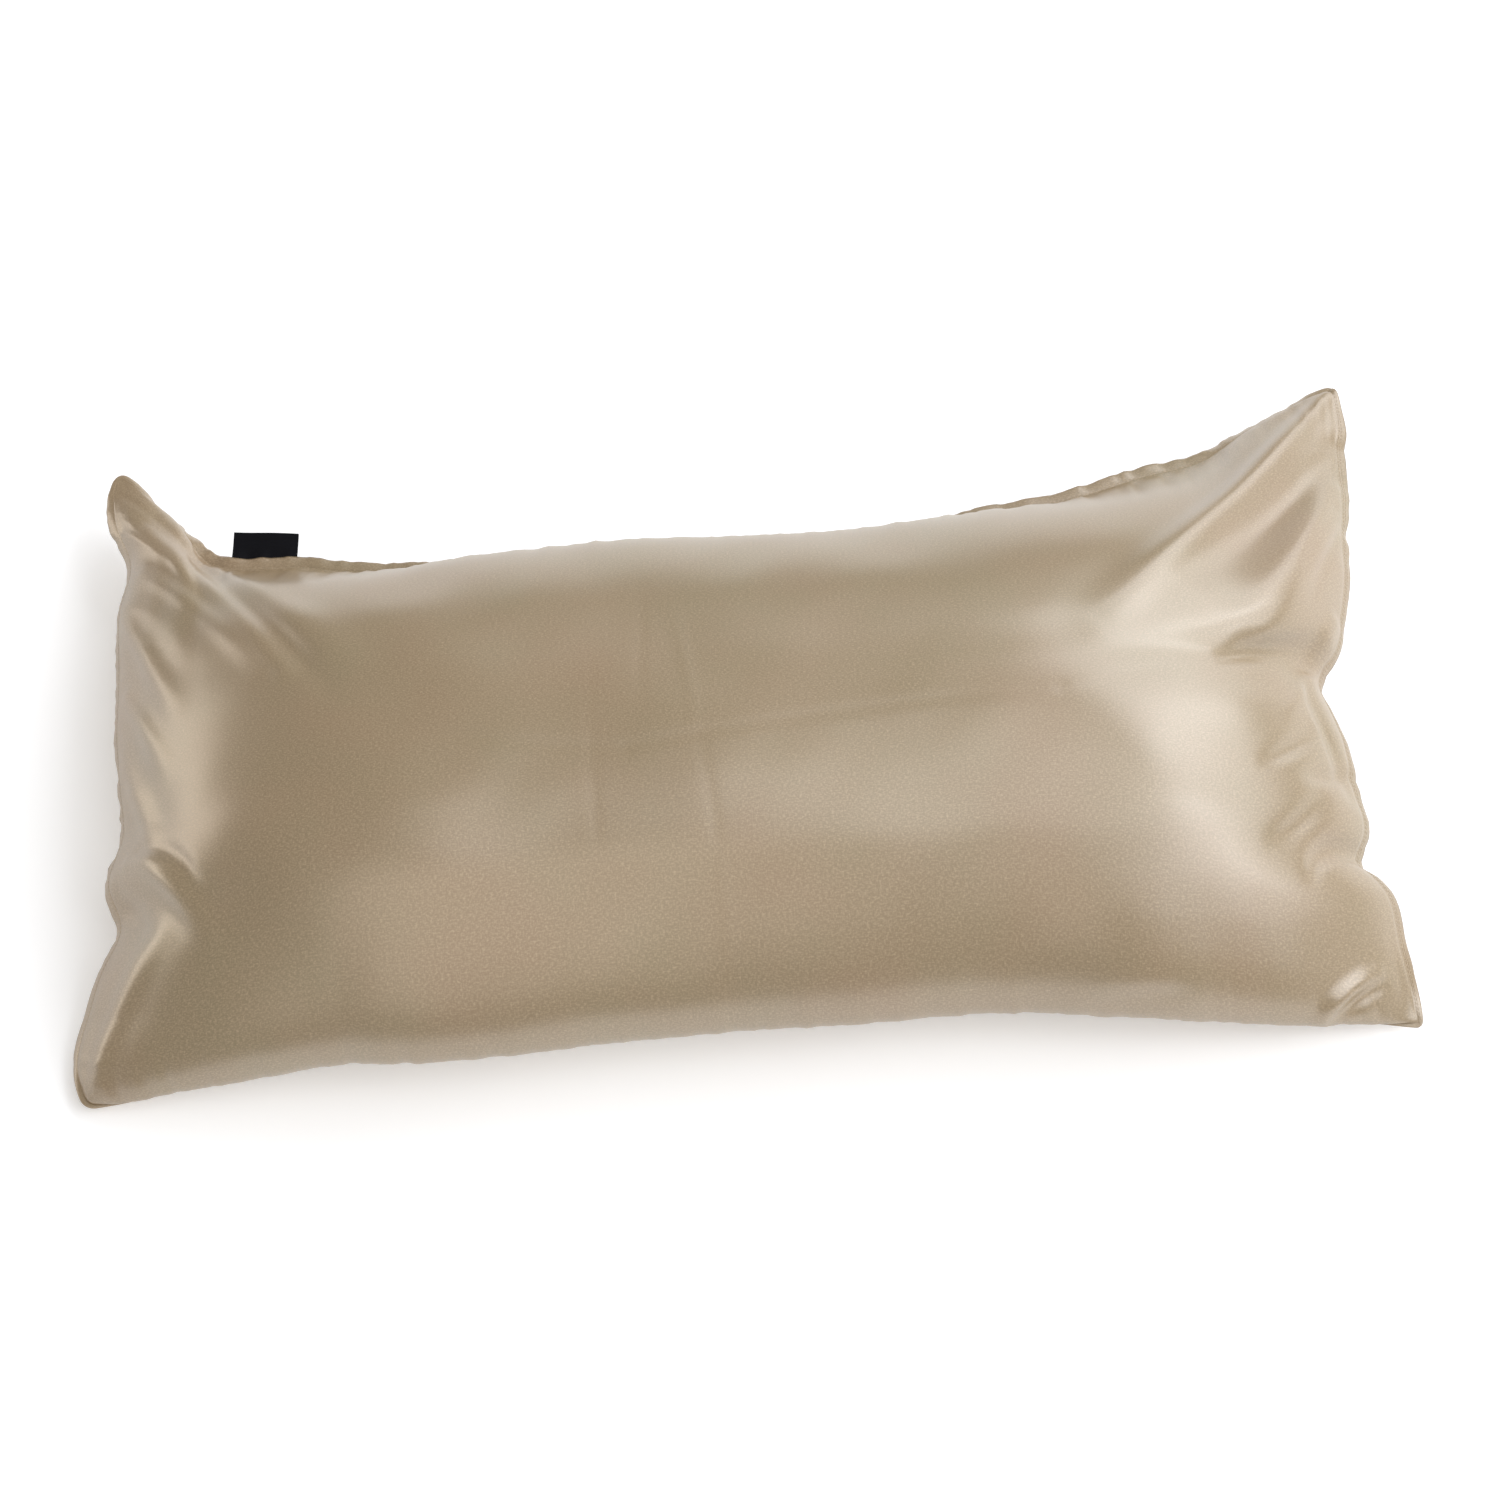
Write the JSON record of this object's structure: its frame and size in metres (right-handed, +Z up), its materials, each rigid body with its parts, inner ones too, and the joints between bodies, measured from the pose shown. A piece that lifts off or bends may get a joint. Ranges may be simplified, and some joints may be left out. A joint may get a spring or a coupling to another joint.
{
  "type": "filled satin pillowcase",
  "caption": "Long filled satin pillowcase lying on its back, with drawn-in seams, pointed corners, soft folds, an open hemmed end and a blank woven tab.",
  "frame": {"origin": "on the flat foot of the back panel, near the middle of the case, where it rests on a surface", "axes": "+X along the case towards its open hemmed end, +Y across it towards the seam with the tab, +Z up through the crown"},
  "size_m": [0.8793, 0.4753, 0.1805],
  "materials": {
    "satin": "champagne satin weave with a soft sheen",
    "tab": "black woven ribbon, blank"
  },
  "bodies": {
    "root": {"case": "satin", "label": "tab"}
  },
  "joints": []
}
